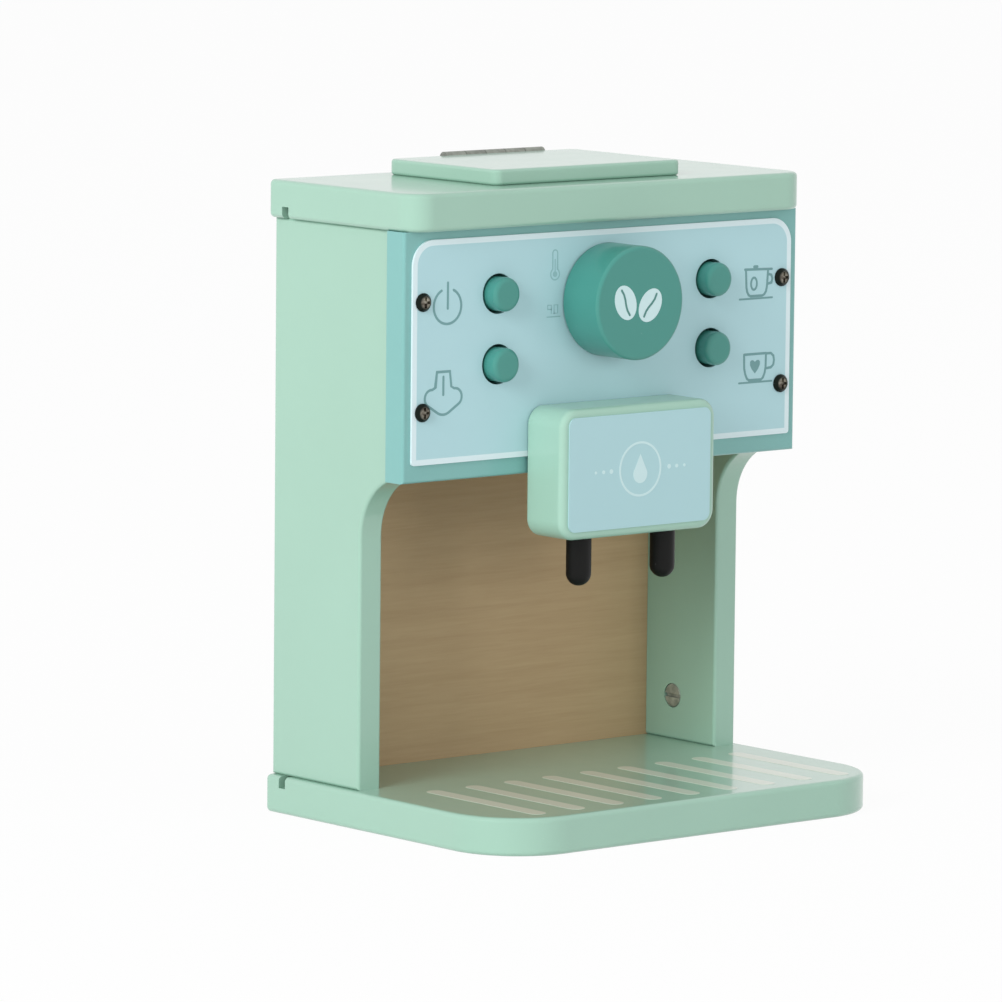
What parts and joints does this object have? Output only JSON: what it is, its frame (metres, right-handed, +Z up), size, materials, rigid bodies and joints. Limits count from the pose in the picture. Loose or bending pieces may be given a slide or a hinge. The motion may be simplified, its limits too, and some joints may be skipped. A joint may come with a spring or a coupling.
{
  "type": "toy coffee maker",
  "caption": "Wooden toy coffee maker with an open bay under two spouts, a control panel with a turning dial and push buttons, and a hinged lid over a small compartment.",
  "frame": {"origin": "middle of the base's underside, on the surface it stands on", "axes": "+Z up, the control panel faces -Y, +X to the right as seen from the front"},
  "size_m": [0.163, 0.119, 0.2075],
  "materials": {
    "board_paint": "mint paint, satin",
    "front_paint": "bluish mint paint, satin",
    "brew_paint": "pale green paint, satin",
    "plywood": "bare plywood",
    "beech": "bare turned wood",
    "label_sheet": "printed sheet, matt",
    "brew_sheet": "printed sheet, matt",
    "knob_paint": "dark green paint, satin",
    "button_paint": "dark green paint, satin",
    "spout_paint": "black paint, satin",
    "screw_steel": "dark plated steel",
    "hinge_steel": "dark steel",
    "spring_steel": "bright spring wire"
  },
  "bodies": {
    "housing": {"base_plate": "board_paint", "left_side_panel": "board_paint", "right_side_panel": "board_paint", "top_plate": "board_paint", "front_board": "front_paint", "brew_head": "brew_paint", "back_panel": "plywood", "bay_ceiling": "plywood", "hopper_tray": "plywood", "spring_frame": "plywood", "top_dowel_front_left": "beech", "top_dowel_rear_left": "beech", "top_dowel_front_right": "beech", "top_dowel_rear_right": "beech", "control_label": "label_sheet", "brew_label": "brew_sheet", "left_spout": "spout_paint", "right_spout": "spout_paint", "panel_screw_lower_left": "screw_steel", "panel_screw_lower_right": "screw_steel", "panel_screw_upper_left": "screw_steel", "panel_screw_upper_right": "screw_steel", "frame_screw_left": "screw_steel", "frame_screw_right": "screw_steel", "brew_screw_left": "screw_steel", "brew_screw_right": "screw_steel", "base_bolt_left": "screw_steel", "base_bolt_right": "screw_steel", "barrel_nut_left": "screw_steel", "barrel_nut_right": "screw_steel", "hinge_fixed_leaf": "hinge_steel", "hinge_pin": "hinge_steel", "foot_nail_left": "hinge_steel", "foot_nail_right": "hinge_steel", "power_spring": "spring_steel", "steam_spring": "spring_steel", "pot_spring": "spring_steel", "cup_spring": "spring_steel"},
    "dial": {"dial_knob": "knob_paint", "dial_axle": "beech", "dial_washer": "screw_steel", "dial_screw": "screw_steel"},
    "power_key": {"power_button": "button_paint"},
    "steam_key": {"steam_button": "button_paint"},
    "pot_key": {"pot_button": "button_paint"},
    "cup_key": {"cup_button": "button_paint"},
    "lid_flap": {"lid": "board_paint", "hinge_lid_leaf": "hinge_steel", "leaf_nail_left": "hinge_steel", "leaf_nail_right": "hinge_steel"}
  },
  "joints": [
    {"name": "dial_turn", "type": "hinge", "parent": "housing", "child": "dial", "pos_m": [0, -0.0094, 0.1646], "axis": [0, -1, 0], "continuous": true},
    {"name": "power_press", "type": "slide", "parent": "housing", "child": "power_key", "axis": [0, 1, 0], "range_m": [0, 0.003], "stiffness_N_per_m": 400, "springref_m": -0.001, "deforming": ["power_spring"]},
    {"name": "steam_press", "type": "slide", "parent": "housing", "child": "steam_key", "axis": [0, 1, 0], "range_m": [0, 0.003], "stiffness_N_per_m": 400, "springref_m": -0.001, "deforming": ["steam_spring"]},
    {"name": "pot_press", "type": "slide", "parent": "housing", "child": "pot_key", "axis": [0, 1, 0], "range_m": [0, 0.003], "stiffness_N_per_m": 400, "springref_m": -0.001, "deforming": ["pot_spring"]},
    {"name": "cup_press", "type": "slide", "parent": "housing", "child": "cup_key", "axis": [0, 1, 0], "range_m": [0, 0.003], "stiffness_N_per_m": 400, "springref_m": -0.001, "deforming": ["cup_spring"]},
    {"name": "lid_hinge", "type": "hinge", "parent": "housing", "child": "lid_flap", "pos_m": [0.0065, 0.0546, 0.2055], "axis": [-1, 0, 0], "range_deg": [0, 105]}
  ]
}
